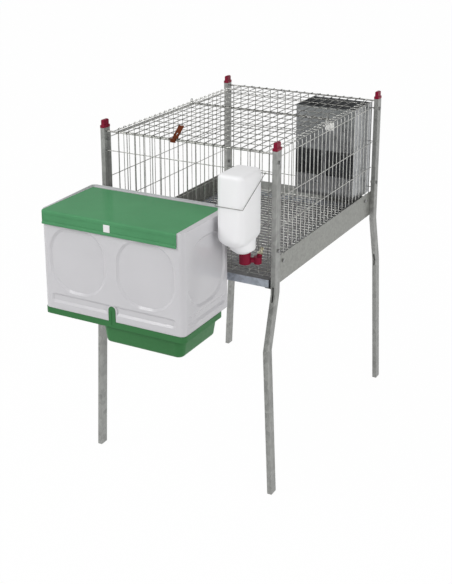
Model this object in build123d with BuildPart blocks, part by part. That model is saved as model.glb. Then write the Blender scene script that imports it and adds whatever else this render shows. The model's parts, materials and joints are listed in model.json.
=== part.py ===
from build123d import *
import math
import os

# Fits between pieces
play = 0.3
weld = 0.05
run = 0.08

# Leg tubes, which run up into the corner posts
cage_width = 600.0
cage_length = 820.0
tube_x = 15.0
tube_y = 30.0
tube_wall = 1.5
leg_height = 1067.0
bend_drop = 16.0
bend_low = 467.0
leg_step = 47.0
leg_splay = 20.0
slot_width = 4.0
slot_length = 46.0

# Stacking caps in the post tops and plugs in the feet
cap_lip = 0.8
cap_flange = 8.0
cap_peg = 17.0
cap_plug = 30.0
cap_chamfer = 2.0
foot_plug = 24.0

# Sheet side rails, floor ledges and droppings tray
sheet = 1.2
rail_drop = 331.0
rail_height = 86.0
rail_flange = 20.0
rail_end_gap = 2.0
ledge_rise = 27.0
ledge_height = 47.0
ledge_width = 14.0
rear_ledge_height = 31.0
tray_sheet = 1.0
tray_height = 24.0
tray_front_gap = 4.0
tray_rear_gap = 10.0
tray_side_gap = 9.0

# Wire walls, roof and floor
wire = 2.4
bar = 5.0
pitch = 30.0
bar_inset = 10.0
bar_drop = 10.0
cross_bar_shift = 60.0
cross_bar_over = 10.0
wall_start = 12.0
flange_reach = 28.0
flange_bend = 7.0
bent_end = 25.0
wire_past_post = 3.0
side_low = 38.0
side_mid_share = 0.362
side_high_share = 0.605
side_top_drop = 19.8
front_low = 10.0
hang_drop = 59.8
rear_low = 13.0
rear_second = 56.0
rear_third_share = 0.605
rear_top_drop = 26.8
floor_pitch = 24.0
floor_long_pitch = 50.0
floor_end_gap = 14.0
floor_side_gap = 1.0

# Roof panels, their hinge straps and the latch
panel_gap = 3.0
panel_cross_pitch = 55.0
panel_front_edge = 9.0
hinge_reach = 8.0
hinge_strap = 1.2
hinge_width = 8.0
hinge_cells = (-6.25, -2.25, 2.25, 6.25)
latch_width = 18.0
latch_strip = 2.0
latch_arm = 50.0
latch_lean = 38.0
latch_foot = 11.5
latch_foot_gap = 1.0
latch_cell = -1.5
latch_slot_width = 4.0
latch_slot_length = 11.0
clip_rise = 18.0
clip_spread = 18.0
tag_cell = 1.5
tag_width = 30.0
tag_height = 24.0
tag_thick = 1.5

# Bolts
bolt_r = 3.0
bolt_play = 0.2
bolt_tip = 1.0
bolt_flats = 10.0
bolt_head = 4.0
nut_height = 5.0
post_bolt_high = 34.5
post_bolt_rise = 32.0
rail_bolt_inset = 80.0
rail_bolt_rise = 64.0
corner_bolt_rise = 40.0

# Feed hopper in the rear right corner
feeder_sheet = 1.0
feeder_width = 214.0
feeder_depth = 153.0
feeder_foot_gap = 21.4
feeder_top_gap = 1.5
feeder_side_gap = 5.0
feeder_trough = 82.0
feeder_mouth = 90.0
feeder_mouth_bar = 9.0
feeder_round = 34.0
baffle_gap = 45.0
baffle_depth = 105.0
baffle_edge = 2.0
feeder_hook_width = 14.0
feeder_hook_tail = 11.0

# Nest box hung on the front wall
nest_width = 478.0
nest_depth = 264.0
nest_height = 303.0
nest_bar_gap = 110.0
nest_sink = 67.0
nest_gap = 22.0
nest_wall = 3.0
nest_corner = 17.0
nest_sill = 38.0
rim_left = 6.0
rim_right = 20.0
rim_rear = 8.0
boss_depth = 4.5
boss_draft = 58.0
panel_margin = 26.0
panel_between = 36.0
panel_low = 58.0
panel_height = 206.0
panel_round = 85.0
strip_low = 20.0
strip_height = 30.0
strip_round = 12.0
notch_width = 24.0
notch_height = 46.0
notch_collar = 4.0
entrance_width = 180.0
entrance_height = 158.0
entrance_low = 119.0
entrance_round = 24.0
collar_wall = 3.0
collar_gap = 1.0
nest_hook_width = 14.0
nest_hook_strip = 2.0
nest_hook_tail = 26.0
nest_hook_nose = 10.0
nest_hook_rise = 8.0

# Nest lid
lid_lip = 3.0
lid_lip_gap = 0.8
lid_lip_height = 43.0
lid_bead = 1.8
lid_bead_height = 8.0
lid_band_depth = 1.0
lid_band_height = 20.0
lid_band_drop = 12.0
lid_round = 5.0
knuckle_r = 4.5
lid_pin_r = 2.0
catch_width = 21.0
catch_height = 22.0
catch_proud = 1.2

# Nest base with its sunken pan
base_wall = 3.0
base_out = 1.5
base_rim = 18.0
pan_width = 275.0
pan_depth = 216.0
pan_drop = 56.0
pan_round = 28.0
pan_draft = 9.0
pan_fillet = 10.0
pan_right_gap = 9.0
pan_front_gap = 4.0
tongue_width = 23.0
tongue_groove = 5.0
tongue_groove_depth = 1.0

# Water bottle, cap, elbow and drinking nipple
bottle_width = 85.0
bottle_depth = 127.0
bottle_height = 220.0
bottle_drop = 199.3
bottle_gap = 13.0
bottle_off = 8.0
bottle_wall = 2.0
bottle_corner = 18.0
bottle_top_round = 12.0
bottle_low_round = 36.0
collar_r = 38.0
collar_off = 43.0
collar_height = 17.0
collar_cone = 13.0
collar_cone_r = 20.0
neck_r = 13.0
neck_bore = 10.0
neck_length = 26.0
neck_off = 28.0
seal_height = 2.0
seal_bore = 5.0
cap_r = 17.0
cap_bottom = 11.0
cap_bore = 4.0
elbow_r = 8.0
elbow_length = 37.0
elbow_turn = 22.0
elbow_cup_r = 12.0
elbow_cup_height = 22.0
elbow_cup_round = 4.0
elbow_bore = 3.0
elbow_boss = 18.0
nipple_tilt = 45.0
nipple_stub_r = 4.0
nipple_stub = 7.0
nipple_nut_flats = 14.0
nipple_nut = 9.0
nipple_r = 5.0
nipple_length = 14.0
nipple_pin_r = 1.6
nipple_pin_length = 18.0
nipple_pin_out = 4.0
nipple_seat = 2.5
bail_wire = 1.6
bail_gap = 0.6
bail_drop = 72.0
bail_eye = 1.5
bail_eye_width = 4.0

# Placing: the whole cage is centred on the floor under its bounding box
half_w = cage_width / 2
half_l = cage_length / 2
inner_x = half_w - tube_x
front_reach = half_l + nest_gap + nest_depth + lid_lip_gap + lid_lip + lid_bead
rear_reach = half_l + leg_step
mid_y = (front_reach - rear_reach) / 2
front_y = mid_y - half_l
rear_y = mid_y + half_l
post_x = half_w - tube_x / 2

# Wire layers
wire_r = wire / 2
hex_r = wire_r / math.cos(math.pi / 6)
layer = wire + weld
bar_r = bar / 2
bar_z = leg_height - bar_drop
front_bar_y = front_y + bar_inset
rear_bar_y = rear_y - bar_inset
cross_bar_y = mid_y + cross_bar_shift
front_wire_y = front_bar_y - layer
rear_wire_y = rear_bar_y + layer
roof_z = bar_z + bar_r + play + wire_r
roof_cross_z = roof_z - layer
edge_z = bar_z - bar_r - weld - wire_r
flange_z = edge_z + layer

# Rails, ledges, tray and floor levels
rail_top = leg_height - rail_drop
rail_bottom = rail_top - rail_height
post_bolt_low = rail_drop - post_bolt_rise
bend_high = rail_bottom - bend_drop
rail_in = inner_x - sheet
tray_bottom = rail_bottom + sheet + play
ledge_bottom = rail_bottom + ledge_rise
ledge_top = ledge_bottom + sheet
floor_z = ledge_top + weld + wire_r
floor_long_z = floor_z + layer
rail_bolt_z = rail_bottom + rail_bolt_rise
corner_bolt_z = rail_bottom + corner_bolt_rise
bolt_hole_r = bolt_r + bolt_play
wall_bottom = ledge_top + wall_start
wall_height = bar_z - wall_bottom

# Side wall positions
side_wire_x = rail_in - sheet - weld - wire_r
side_bar_x = side_wire_x - layer
flange_x = side_bar_x - flange_reach
side_levels = (
    wall_bottom + side_low,
    wall_bottom + side_mid_share * wall_height,
    wall_bottom + side_high_share * wall_height,
    bar_z - side_top_drop,
)
rear_levels = (
    wall_bottom + rear_second,
    wall_bottom + rear_third_share * wall_height,
    bar_z - rear_top_drop,
)
side_count = 2 * int((cage_length / 2 - tube_y) / pitch)
front_count = int((cage_width - 2 * tube_x) / pitch)
panel_half = flange_x - wire_r - panel_gap
front_panel_count = 2 * int(panel_half / pitch) + 1
rear_panel_count = front_panel_count - 1

# Nest positions, counted from the last bar of the front wall
last_bar_x = (front_count - 1) / 2 * pitch
nest_right = last_bar_x - nest_bar_gap
nest_x = nest_right - nest_width / 2
nest_left = nest_right - nest_width
nest_rear = front_y - nest_gap
nest_front = nest_rear - nest_depth
nest_y = (nest_rear + nest_front) / 2
nest_bottom = rail_bottom - nest_sink
nest_top = nest_bottom + nest_height
entrance_z = nest_bottom + entrance_low + entrance_height / 2
entrance_top = nest_bottom + entrance_low + entrance_height
hook_wire_z = entrance_top + nest_hook_rise
hang_wire_z = bar_z - hang_drop
lid_left = nest_left + rim_left + 2 * play
lid_right = nest_right - rim_right - 2 * play
lid_x = (lid_left + lid_right) / 2
lid_under = nest_top - nest_wall + play
lip_back = nest_front - lid_lip_gap
lip_front = lip_back - lid_lip
lip_bottom = nest_top - lid_lip_height
hinge_y = nest_rear - rim_rear - 2 * play - knuckle_r
hinge_z = nest_top - knuckle_r

# Bottle positions
bottle_x = nest_right + bottle_gap + bottle_width / 2
bottle_rear = front_wire_y - wire_r - bottle_off
bottle_y = bottle_rear - bottle_depth / 2
bottle_bottom = hang_wire_z - bottle_drop
neck_y = bottle_rear - neck_off
collar_y = bottle_rear - collar_off
neck_top = bottle_bottom - collar_height - collar_cone
neck_end = neck_top - neck_length
cap_floor = neck_end - seal_height - 2 * weld
cap_low = cap_floor - cap_bottom
elbow_z = cap_low + cap_bottom
elbow_x = bottle_x + elbow_length * math.cos(math.radians(elbow_turn))
elbow_y = neck_y + elbow_length * math.sin(math.radians(elbow_turn))
bail_r = bail_wire / 2
bail_y = bottle_rear - bottle_depth - play - bail_r
bail_z = hang_wire_z - bail_drop


def block(x0, x1, y0, y1, z0, z1, mode=Mode.ADD):
    """A box between two opposite corners."""
    with Locations(((x0 + x1) / 2, (y0 + y1) / 2, (z0 + z1) / 2)):
        Box(x1 - x0, y1 - y0, z1 - z0, mode=mode)


def rod(x, y, z, radius, length, mode=Mode.ADD):
    """A round rod along X about a middle point."""
    with Locations(Location((x, y, z), (0, 90, 0))):
        Cylinder(radius, length, mode=mode)


def cell_below(x):
    """Middle of the last gap between wall bars that lies below x."""
    return (math.floor(x / pitch - 0.5) + 0.5) * pitch


def write(piece, name):
    """Label one finished piece and save it."""
    piece.part.label = name
    export_step(piece.part, f"parts/{name}.step")


os.makedirs("parts", exist_ok=True)

# Legs: upright post, cranked middle and splayed foot, with a slot at each bend
corners = {"front_left": (-1, -1), "front_right": (1, -1), "rear_left": (-1, 1), "rear_right": (1, 1)}
crank = ((leg_step, bend_low), (0, bend_high), (0, leg_height))
for name, (side, end) in corners.items():
    base_y = mid_y + end * (half_l - tube_y / 2)
    foot_x = side * (post_x + leg_splay)
    points = [(foot_x, base_y + end * leg_step, 0)]
    points += [(side * post_x, base_y + end * step, z) for step, z in crank]
    with BuildPart() as leg:
        for low, high in zip(points[:-1], points[1:]):
            way = Vector(*high) - Vector(*low)
            with BuildSketch(Plane(low)):
                Rectangle(tube_x, tube_y)
                Rectangle(tube_x - 2 * tube_wall, tube_y - 2 * tube_wall, mode=Mode.SUBTRACT)
            extrude(amount=way.length, dir=way.normalized())
        slots = ((bend_high, 0, 1), (bend_low, leg_step, -1))
        for z, step, face in slots:
            wall_y = base_y + end * (step + face * (tube_y - tube_wall) / 2)
            with Locations((side * post_x, wall_y + end * face * tube_wall * 2, z)):
                Box(slot_width, tube_wall * 5 + play, slot_length, mode=Mode.SUBTRACT)
        for drop in (post_bolt_high, post_bolt_low):
            rod(side * post_x, base_y, leg_height - drop, bolt_hole_r, tube_x * 2, Mode.SUBTRACT)
        rod(side * inner_x, base_y, corner_bolt_z, bolt_hole_r, tube_x, Mode.SUBTRACT)
    write(leg, f"leg_{name}")

# Stacking caps
for name, (side, end) in corners.items():
    cap_y = mid_y + end * (half_l - tube_y / 2)
    plug_x = tube_x - 2 * tube_wall - play
    plug_y = tube_y - 2 * tube_wall - play
    with BuildPart() as cap:
        with BuildSketch(Plane((side * post_x, cap_y, leg_height - cap_plug))):
            Rectangle(plug_x, plug_y)
        extrude(amount=cap_plug + cap_flange + cap_peg)
        chamfer(cap.faces().sort_by(Axis.Z)[-1].edges(), cap_chamfer)
        with BuildSketch(Plane((side * post_x, cap_y, leg_height))):
            Rectangle(tube_x + 2 * cap_lip, tube_y + 2 * cap_lip)
        extrude(amount=cap_flange)
    write(cap, f"cap_{name}")

# Plugs that close the feet, sloped like the foot tubes
with BuildPart() as foot_plugs:
    for side, end in corners.values():
        foot = (side * (post_x + leg_splay), mid_y + end * (half_l - tube_y / 2 + leg_step), 0)
        way = Vector(-side * leg_splay, 0, bend_low).normalized()
        with BuildSketch(Plane(foot)):
            Rectangle(tube_x - 2 * tube_wall - play, tube_y - 2 * tube_wall - play)
        extrude(amount=foot_plug, dir=way)
write(foot_plugs, "foot_plugs")

# Side rails with a lower flange that carries the tray, and the ledges that carry the floor
for name, side in (("left", -1), ("right", 1)):
    rail_half = half_l - rail_end_gap
    with BuildPart() as rail:
        with BuildSketch(Plane.XZ.offset(-mid_y)):
            with BuildLine():
                Polyline(
                    (side * inner_x, rail_bottom),
                    (side * inner_x, rail_top),
                    (side * rail_in, rail_top),
                    (side * rail_in, rail_bottom + sheet),
                    (side * (inner_x - rail_flange), rail_bottom + sheet),
                    (side * (inner_x - rail_flange), rail_bottom),
                    close=True,
                )
            make_face()
        extrude(amount=rail_half, both=True)
        for end in (-1, 1):
            bolt_y = mid_y + end * (half_l - rail_bolt_inset)
            rod(side * inner_x, bolt_y, rail_bolt_z, bolt_hole_r, tube_x, Mode.SUBTRACT)
            corner_y = mid_y + end * (half_l - tube_y / 2)
            rod(side * inner_x, corner_y, corner_bolt_z, bolt_hole_r, tube_x, Mode.SUBTRACT)
    write(rail, f"rail_{name}")
    ledge_out = rail_in - weld
    with BuildPart() as ledge:
        with BuildSketch(Plane.XZ.offset(-mid_y)):
            with BuildLine():
                Polyline(
                    (side * ledge_out, ledge_bottom),
                    (side * ledge_out, ledge_bottom + ledge_height),
                    (side * (ledge_out - sheet + weld), ledge_bottom + ledge_height),
                    (side * (ledge_out - sheet + weld), ledge_top),
                    (side * (ledge_out - ledge_width), ledge_top),
                    (side * (ledge_out - ledge_width), ledge_bottom),
                    close=True,
                )
            make_face()
        extrude(amount=half_l - tube_y - wire, both=True)
        for end in (-1, 1):
            bolt_y = mid_y + end * (half_l - rail_bolt_inset)
            rod(side * inner_x, bolt_y, rail_bolt_z, bolt_hole_r, tube_x, Mode.SUBTRACT)
    write(ledge, f"ledge_{name}")

# Angle across the rear, behind the last floor wire and in front of the rear bars
rear_ledge_y1 = rear_bar_y - wire_r - weld
rear_ledge_y0 = mid_y + half_l - tube_y - wire + play
rear_ledge_half = rail_in - bolt_head - rail_end_gap
rear_ledge_top = ledge_bottom + rear_ledge_height
with BuildPart() as rear_ledge:
    block(-rear_ledge_half, rear_ledge_half, rear_ledge_y0, rear_ledge_y1, ledge_bottom, ledge_top)
    block(
        -rear_ledge_half,
        rear_ledge_half,
        rear_ledge_y1 - sheet,
        rear_ledge_y1,
        ledge_bottom,
        rear_ledge_top,
    )
write(rear_ledge, "rear_ledge")

# Droppings tray that runs on the rail flanges
tray_half = rail_in - tray_side_gap + sheet
tray_y0 = front_y + tray_front_gap
tray_y1 = rear_y - tray_rear_gap
with BuildPart() as tray:
    block(-tray_half, tray_half, tray_y0, tray_y1, tray_bottom, tray_bottom + tray_height)
    block(
        tray_sheet - tray_half,
        tray_half - tray_sheet,
        tray_y0 + tray_sheet,
        tray_y1 - tray_sheet,
        tray_bottom + tray_sheet,
        tray_bottom + 2 * tray_height,
        Mode.SUBTRACT,
    )
write(tray, "tray")

# Wire floor: cross wires on the ledges with long wires on top
floor_half_x = rail_in - sheet - floor_side_gap
floor_half_y = half_l - floor_end_gap
with BuildPart() as floor_grid:
    with BuildSketch(Plane.YZ):
        with Locations((mid_y, floor_z)):
            with GridLocations(floor_pitch, wire, 2 * int(floor_half_y / floor_pitch) + 1, 1):
                RegularPolygon(wire_r, 6, major_radius=False)
    extrude(amount=floor_half_x, both=True)
    with BuildSketch(Plane.XZ.offset(-mid_y)):
        with Locations((0, floor_long_z)):
            with GridLocations(floor_long_pitch, wire, 2 * int(floor_half_x / floor_long_pitch) + 1, 1):
                RegularPolygon(wire_r, 6, major_radius=False)
    extrude(amount=floor_half_y, both=True)
write(floor_grid, "floor_grid")

# One bent top end of a side wall bar, turned in to make the roof flange
bend_z = flange_z - bent_end
with BuildPart() as bent_bar_end:
    with BuildLine(Plane.XZ) as bend_path:
        Polyline(
            (side_bar_x, bend_z),
            (side_bar_x, flange_z - flange_bend),
            (side_bar_x - flange_bend, flange_z),
            (flange_x - wire_r, flange_z),
        )
    with BuildSketch(Plane((side_bar_x, 0, bend_z))):
        RegularPolygon(wire_r, 6, major_radius=False, rotation=30)
    sweep(path=bend_path.wires()[0], transition=Transition.RIGHT)

# Side walls: upright bars with bent ends, long wires outside and two wires under the roof flange
with BuildPart() as side_wall_right:
    with BuildSketch(Plane.XY.offset(wall_bottom)):
        with Locations((side_bar_x, mid_y)):
            with GridLocations(wire, pitch, 1, side_count):
                RegularPolygon(wire_r, 6, major_radius=False, rotation=30)
    extrude(amount=bend_z - wall_bottom - weld)
    with Locations((0, mid_y, 0)):
        with GridLocations(wire, pitch, 1, side_count):
            add(bent_bar_end.part)
    with BuildSketch(Plane.XZ.offset(-mid_y)):
        with Locations(*[(side_wire_x, z) for z in side_levels]):
            RegularPolygon(wire_r, 6, major_radius=False, rotation=30)
        with Locations((side_bar_x - flange_bend - hex_r, edge_z)):
            RegularPolygon(wire_r, 6, major_radius=False)
    extrude(amount=half_l - tube_y + wire_past_post, both=True)
    with BuildSketch(Plane.XZ.offset(-mid_y)):
        with Locations((flange_x, edge_z)):
            RegularPolygon(wire_r, 6, major_radius=False)
    extrude(amount=half_l - bar_inset, both=True)
write(side_wall_right, "side_wall_right")
with BuildPart() as side_wall_left:
    mirror(side_wall_right.part, about=Plane.YZ)
write(side_wall_left, "side_wall_left")

# Thick round bars at the roof edges and across the roof
bars = {
    "front_top_bar": (front_bar_y, inner_x - weld),
    "rear_top_bar": (rear_bar_y, inner_x - weld),
    "roof_cross_bar": (cross_bar_y, flange_x + cross_bar_over),
}
for name, (y, half) in bars.items():
    with BuildPart() as top_bar:
        rod(0, y, bar_z, bar_r, 2 * half)
    write(top_bar, name)

# Front wall, open where the nest box joins it; the wire that carries the bail is round
bar_xs = [(i - (front_count - 1) / 2) * pitch for i in range(front_count)]
bar_end = bar_z - bar_r - weld
gate_left = nest_x - entrance_width / 2 - wire
gate_right = nest_x + entrance_width / 2 + wire
whole_bars = [(x, front_bar_y) for x in bar_xs if x < gate_left or x > gate_right]
short_bars = [(x, front_bar_y) for x in bar_xs if gate_left <= x <= gate_right]
with BuildPart() as front_wall:
    with BuildSketch(Plane.XY.offset(wall_bottom)):
        with Locations(*whole_bars):
            RegularPolygon(wire_r, 6, major_radius=False)
    extrude(amount=bar_end - wall_bottom)
    with BuildSketch(Plane.XY.offset(hook_wire_z - wire)):
        with Locations(*short_bars):
            RegularPolygon(wire_r, 6, major_radius=False)
    extrude(amount=bar_end - hook_wire_z + wire)
    with BuildSketch(Plane.YZ):
        with Locations((front_wire_y, wall_bottom + front_low)):
            RegularPolygon(wire_r, 6, major_radius=False, rotation=30)
    extrude(amount=rail_in - weld, both=True)
    with BuildSketch(Plane.YZ):
        with Locations((front_wire_y, hang_wire_z)):
            Circle(wire_r)
    extrude(amount=inner_x - weld, both=True)
    hook_wire_end = nest_right + wire
    with BuildSketch(Plane.YZ.offset(weld - inner_x)):
        with Locations((front_wire_y, hook_wire_z)):
            RegularPolygon(wire_r, 6, major_radius=False, rotation=30)
    extrude(amount=inner_x - weld + hook_wire_end)
write(front_wall, "front_wall")

# Rear wall with its long wires outside
with BuildPart() as rear_wall:
    with BuildSketch(Plane.XY.offset(wall_bottom)):
        with Locations(*[(x, rear_bar_y) for x in bar_xs]):
            RegularPolygon(wire_r, 6, major_radius=False)
    extrude(amount=bar_end - wall_bottom)
    with BuildSketch(Plane.YZ):
        with Locations((rear_wire_y, wall_bottom + rear_low)):
            RegularPolygon(wire_r, 6, major_radius=False, rotation=30)
    extrude(amount=rail_in - weld, both=True)
    with BuildSketch(Plane.YZ):
        with Locations(*[(rear_wire_y, z) for z in rear_levels]):
            RegularPolygon(wire_r, 6, major_radius=False, rotation=30)
    extrude(amount=inner_x - weld, both=True)
write(rear_wall, "rear_wall")

# Roof panels: long wires on top, cross wires under them, straps round the bar they turn on
panels = {
    "front": (front_bar_y - bar_r - weld, cross_bar_y, front_bar_y + panel_front_edge, front_panel_count),
    "rear": (cross_bar_y - wire_r, rear_bar_y, cross_bar_y + panel_front_edge, rear_panel_count),
}
for name, (tip_y, turn_y, edge_y, count) in panels.items():
    last_y = turn_y - hinge_reach
    heel_y = turn_y - bar_r - wire_r
    cross_count = int((last_y - edge_y) / panel_cross_pitch) + 1
    with BuildPart() as panel:
        with BuildSketch(Plane.XZ.offset(-(tip_y + heel_y) / 2)):
            with Locations((0, roof_z)):
                with GridLocations(pitch, wire, count, 1):
                    RegularPolygon(wire_r, 6, major_radius=False)
        extrude(amount=(heel_y - tip_y) / 2, both=True)
        with BuildSketch(Plane.YZ):
            with Locations(((edge_y + last_y) / 2, roof_cross_z)):
                with GridLocations((last_y - edge_y) / (cross_count - 1), wire, cross_count, 1):
                    RegularPolygon(wire_r, 6, major_radius=False)
        extrude(amount=panel_half, both=True)
    write(panel, f"roof_{name}_panel")
    with BuildPart() as straps:
        for cell in hinge_cells:
            with BuildSketch(Plane.YZ.offset(cell * pitch)):
                with Locations((turn_y, bar_z)):
                    Circle(bar_r + run + hinge_strap)
                with Locations((last_y, roof_cross_z)):
                    Circle(hex_r + weld + hinge_strap)
                make_hull()
                with Locations((turn_y, bar_z)):
                    Circle(bar_r + run, mode=Mode.SUBTRACT)
                with Locations((last_y, roof_cross_z)):
                    Circle(hex_r + weld, mode=Mode.SUBTRACT)
            extrude(amount=hinge_width / 2, both=True)
    write(straps, f"{name}_hinge_straps")

# Latch strip that turns on the front edge wire of the front roof panel
latch_y = front_bar_y + panel_front_edge
latch_bore = hex_r + run
latch_front = front_bar_y - bar_r - latch_foot_gap - latch_strip
latch_low = roof_cross_z + latch_bore
with BuildPart() as roof_latch:
    with BuildSketch(Plane.YZ.offset(latch_cell * pitch)):
        with Locations((latch_y, roof_cross_z)):
            Circle(latch_bore + latch_strip)
        with Locations(Location((latch_y, roof_cross_z), latch_lean)):
            with Locations((latch_arm / 2, latch_bore + latch_strip / 2)):
                Rectangle(latch_arm, latch_strip)
        with Locations(((latch_front + latch_y) / 2, latch_low + latch_strip / 2)):
            Rectangle(latch_y - latch_front, latch_strip)
        with Locations((latch_front + latch_strip / 2, latch_low + latch_strip - latch_foot / 2)):
            Rectangle(latch_strip, latch_foot)
        with Locations((latch_y, roof_cross_z)):
            Circle(latch_bore, mode=Mode.SUBTRACT)
    extrude(amount=latch_width / 2, both=True)
    slot_plane = Plane((latch_cell * pitch, latch_y, roof_cross_z)).rotated((latch_lean, 0, 0))
    with BuildSketch(slot_plane):
        with Locations((0, latch_arm / 3)):
            SlotOverall(latch_slot_length, latch_slot_width, rotation=90)
    extrude(amount=2 * (latch_bore + latch_strip), mode=Mode.SUBTRACT)
write(roof_latch, "roof_latch")

# Wire clips that stand up over the ends of the cross bar
with BuildPart() as cross_bar_clips:
    clip_z = edge_z + wire_r + weld
    for side in (-1, 1):
        with BuildLine(Plane.YZ.offset(side * flange_x)) as clip_path:
            Polyline(
                (cross_bar_y - clip_spread / 2, clip_z - wire),
                (cross_bar_y - clip_spread / 4, clip_z + clip_rise),
                (cross_bar_y + clip_spread / 4, clip_z + clip_rise),
                (cross_bar_y + clip_spread / 2, clip_z - wire),
            )
        with BuildSketch(Plane((side * flange_x, cross_bar_y - clip_spread / 2, clip_z - wire))):
            RegularPolygon(wire_r, 6, major_radius=False)
        sweep(path=clip_path.wires()[0], transition=Transition.RIGHT)
    split(bisect_by=Plane.XY.offset(clip_z), keep=Keep.TOP)
write(cross_bar_clips, "cross_bar_clips")

# Blank tag on a bar of the right side wall, under the roof flange
tag_back = mid_y + tag_cell * pitch - hex_r - weld
tag_right = side_wire_x - hex_r - weld
tag_top = edge_z - hex_r - weld
with BuildPart() as tag_plate:
    block(
        tag_right - tag_width,
        tag_right,
        tag_back - tag_thick,
        tag_back,
        tag_top - tag_height,
        tag_top,
    )
write(tag_plate, "tag_plate")

# Bolts through the posts and rails with their nuts
post_bolt_spots = [
    (side, mid_y + end * (half_l - tube_y / 2), leg_height - drop)
    for side, end in corners.values()
    for drop in (post_bolt_high, post_bolt_low)
]
rail_bolt_spots = [
    (side, mid_y + end * (half_l - rail_bolt_inset), rail_bolt_z)
    for side, end in corners.values()
]
corner_bolt_spots = [
    (-side, mid_y + end * (half_l - tube_y / 2), corner_bolt_z)
    for side, end in corners.values()
]
bolt_runs = {
    "post": (post_bolt_spots, half_w, inner_x - nut_height - bolt_tip),
    "rail": (rail_bolt_spots, inner_x, rail_in - sheet - nut_height - bolt_tip),
    "corner": (corner_bolt_spots, -rail_in, -(inner_x + tube_wall + nut_height + bolt_tip)),
}
nut_faces = {"post": inner_x, "rail": rail_in - sheet, "corner": -(inner_x + tube_wall)}
for name, (spots, head_x, tip_x) in bolt_runs.items():
    with BuildPart() as bolts:
        for side, y, z in spots:
            with BuildSketch(Plane((side * head_x, y, z), x_dir=(0, 1, 0), z_dir=(side, 0, 0))):
                RegularPolygon(bolt_flats / 2, 6, major_radius=False)
            extrude(amount=bolt_head)
            rod(side * (head_x + tip_x) / 2, y, z, bolt_r, head_x - tip_x)
    write(bolts, f"{name}_bolts")
    with BuildPart() as nuts:
        for side, y, z in spots:
            with BuildSketch(Plane((side * nut_faces[name], y, z), x_dir=(0, 1, 0), z_dir=(-side, 0, 0))):
                RegularPolygon(bolt_flats / 2, 6, major_radius=False)
                Circle(bolt_r + weld, mode=Mode.SUBTRACT)
            extrude(amount=nut_height)
    write(nuts, f"{name}_nuts")

# Feed hopper: folded box with a barred mouth above a rounded trough
feeder_x1 = inner_x - rail_flange + feeder_side_gap
feeder_x0 = feeder_x1 - feeder_width
feeder_x = (feeder_x0 + feeder_x1) / 2
feeder_y1 = rear_bar_y - wire_r - weld
feeder_y0 = feeder_y1 - feeder_depth
feeder_top = edge_z - hex_r - feeder_top_gap
feeder_low = rear_ledge_top + feeder_foot_gap
feeder_height = feeder_top - feeder_low
feeder_y = (feeder_y0 + feeder_y1) / 2
feeder_z = (feeder_low + feeder_top) / 2
with BuildPart() as feeder_body:
    with BuildSketch(Plane.YZ.offset(feeder_x)) as feeder_outline:
        with Locations((feeder_y, feeder_z)):
            Rectangle(feeder_depth, feeder_height)
        fillet(feeder_outline.vertices().group_by(Axis.Y)[0].sort_by(Axis.X)[0], feeder_round)
    extrude(amount=feeder_width / 2, both=True)
    with BuildSketch(Plane.YZ.offset(feeder_x)) as feeder_hollow:
        with Locations((feeder_y, feeder_z + feeder_sheet)):
            Rectangle(feeder_depth - 2 * feeder_sheet, feeder_height)
        fillet(feeder_hollow.vertices().group_by(Axis.Y)[0].sort_by(Axis.X)[0], feeder_round - feeder_sheet)
    extrude(amount=feeder_width / 2 - feeder_sheet, both=True, mode=Mode.SUBTRACT)
    mouth_bar_x0 = feeder_x - feeder_mouth_bar / 2
    mouth_bar_x1 = feeder_x + feeder_mouth_bar / 2
    mouth_spans = ((feeder_x0 + feeder_sheet, mouth_bar_x0), (mouth_bar_x1, feeder_x1 - feeder_sheet))
    for mouth_x0, mouth_x1 in mouth_spans:
        block(
            mouth_x0,
            mouth_x1,
            feeder_y0 - feeder_sheet,
            feeder_y0 + 2 * feeder_sheet,
            feeder_low + feeder_trough,
            feeder_low + feeder_trough + feeder_mouth,
            Mode.SUBTRACT,
        )
write(feeder_body, "feeder_body")

# Baffle plate that slopes back from the mouth's top edge and leaves a feed gap below
baffle_y0 = feeder_y0 + feeder_sheet + weld
baffle_y1 = feeder_y0 + baffle_depth
baffle_top = feeder_low + feeder_trough + feeder_mouth
baffle_low = feeder_low + baffle_gap
with BuildPart() as feeder_baffle:
    with BuildSketch(Plane.YZ.offset(feeder_x)):
        with BuildLine():
            Polyline(
                (baffle_y0, baffle_top),
                (baffle_y0, baffle_top + baffle_edge),
                (baffle_y1, baffle_low + baffle_edge),
                (baffle_y1, baffle_low),
                close=True,
            )
        make_face()
    extrude(amount=feeder_width / 2 - feeder_sheet - weld, both=True)
write(feeder_baffle, "feeder_baffle")

# Hooks that carry the hopper on the rear wall's top wire
feeder_hook_xs = (
    cell_below(feeder_x0 + pitch + feeder_hook_width),
    cell_below(feeder_x1 - feeder_hook_width),
)
with BuildPart() as feeder_hooks:
    for x in feeder_hook_xs:
        x0 = x - feeder_hook_width / 2
        x1 = x + feeder_hook_width / 2
        plate_z = rear_levels[-1] + hex_r + weld
        nose_y = rear_wire_y + wire_r + play
        seat_y = feeder_y1 + weld
        block(x0, x1, seat_y, seat_y + feeder_sheet, plate_z - 2 * feeder_hook_tail, plate_z + feeder_sheet)
        block(x0, x1, seat_y, nose_y + feeder_sheet, plate_z, plate_z + feeder_sheet)
        block(x0, x1, nose_y, nose_y + feeder_sheet, plate_z - feeder_hook_tail, plate_z + feeder_sheet)
write(feeder_hooks, "feeder_hooks")

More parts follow.
